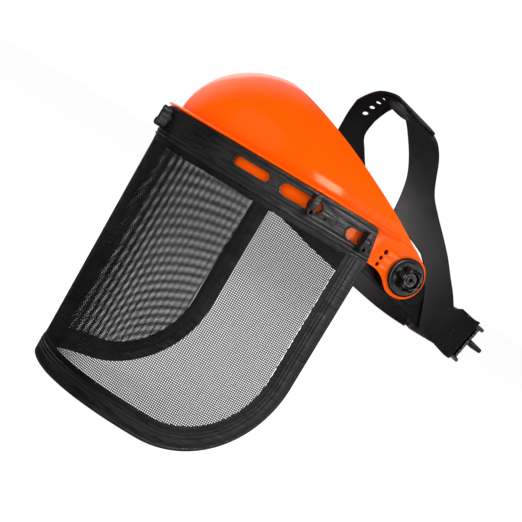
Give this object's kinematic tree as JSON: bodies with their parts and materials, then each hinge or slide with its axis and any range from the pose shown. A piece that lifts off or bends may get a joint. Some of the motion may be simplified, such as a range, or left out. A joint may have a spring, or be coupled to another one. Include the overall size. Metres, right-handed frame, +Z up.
{
  "type": "face shield",
  "caption": "Mesh face shield: a glossy brow guard with a bent, slotted visor frame around wire mesh, hinged on a ratchet headband with a crown strap.",
  "frame": {"origin": "middle of the hinge axis through both side knobs, level with the wearer's temples", "axes": "+Z up as worn, -Y the way the wearer looks, +X the wearer's left"},
  "size_m": [0.2206, 0.3447, 0.3096],
  "materials": {
    "orange_shell": "smooth glossy orange moulding",
    "black_frame": "satin black moulding with fine ribs",
    "wire_mesh": "woven wire mesh, black coated",
    "black_strap": "soft satin black flexible plastic",
    "black_knob": "glossy black moulding",
    "steel": "plain zinc-plated steel",
    "dark_nut": "brass nut, blackened",
    "sweat_fabric": "black terry fabric over thin foam"
  },
  "bodies": {
    "headgear": {"headband_front": "black_strap", "headband_side_left": "black_strap", "headband_side_right": "black_strap", "sweatband": "sweat_fabric", "ratchet_plate": "black_frame", "ratchet_cover": "black_frame", "hinge_bolt_left": "steel", "hinge_bolt_right": "steel", "hinge_bushing_left": "black_frame", "hinge_bushing_right": "black_frame", "friction_washer_left": "steel", "friction_washer_right": "steel"},
    "visor": {"brow_guard": "orange_shell", "visor_frame": "black_frame", "visor_mesh": "wire_mesh"},
    "knob_left": {"side_knob_left": "black_knob", "knob_nut_left": "dark_nut"},
    "knob_right": {"side_knob_right": "black_knob", "knob_nut_right": "dark_nut"},
    "ratchet_dial": {"ratchet_knob": "black_frame", "ratchet_pinion": "black_frame", "ratchet_screw": "steel"},
    "button_front": {"turn_button_front": "black_frame", "button_clip_front": "steel"},
    "button_mid_left": {"turn_button_mid_left": "black_frame", "button_clip_mid_left": "steel"},
    "button_rear_left": {"turn_button_rear_left": "black_frame", "button_clip_rear_left": "steel"},
    "button_mid_right": {"turn_button_mid_right": "black_frame", "button_clip_mid_right": "steel"},
    "button_rear_right": {"turn_button_rear_right": "black_frame", "button_clip_rear_right": "steel"}
  },
  "joints": [
    {"name": "visor_pivot", "type": "hinge", "parent": "headgear", "child": "visor", "pos_m": [0, 0, 0], "axis": [-1, 0, 0], "range_deg": [0, 75]},
    {"name": "knob_left_turn", "type": "hinge", "parent": "headgear", "child": "knob_left", "pos_m": [0.1045, 0, 0], "axis": [1, 0, 0], "range_deg": [0, 270]},
    {"name": "knob_right_turn", "type": "hinge", "parent": "headgear", "child": "knob_right", "pos_m": [-0.1045, 0, 0], "axis": [-1, 0, 0], "range_deg": [0, 270]},
    {"name": "ratchet_turn", "type": "hinge", "parent": "headgear", "child": "ratchet_dial", "pos_m": [0, 0.12031, -0.01579], "axis": [0, 0.9789, -0.2045], "continuous": true},
    {"name": "button_front_turn", "type": "hinge", "parent": "visor", "child": "button_front", "pos_m": [0, -0.18025, 0.0102], "axis": [0, -1, 0], "range_deg": [0, 90]},
    {"name": "button_mid_left_turn", "type": "hinge", "parent": "visor", "child": "button_mid_left", "pos_m": [0.0941, -0.0906, 0.0105], "axis": [0.9732, -0.23, 0], "range_deg": [0, 90]},
    {"name": "button_rear_left_turn", "type": "hinge", "parent": "visor", "child": "button_rear_left", "pos_m": [0.09981, -0.0456, 0.0065], "axis": [0.9994, -0.034, 0], "range_deg": [0, 90]},
    {"name": "button_mid_right_turn", "type": "hinge", "parent": "visor", "child": "button_mid_right", "pos_m": [-0.0941, -0.0906, 0.0105], "axis": [-0.9732, -0.23, 0], "range_deg": [0, 90]},
    {"name": "button_rear_right_turn", "type": "hinge", "parent": "visor", "child": "button_rear_right", "pos_m": [-0.09981, -0.0456, 0.0065], "axis": [-0.9994, -0.034, 0], "range_deg": [0, 90]}
  ]
}
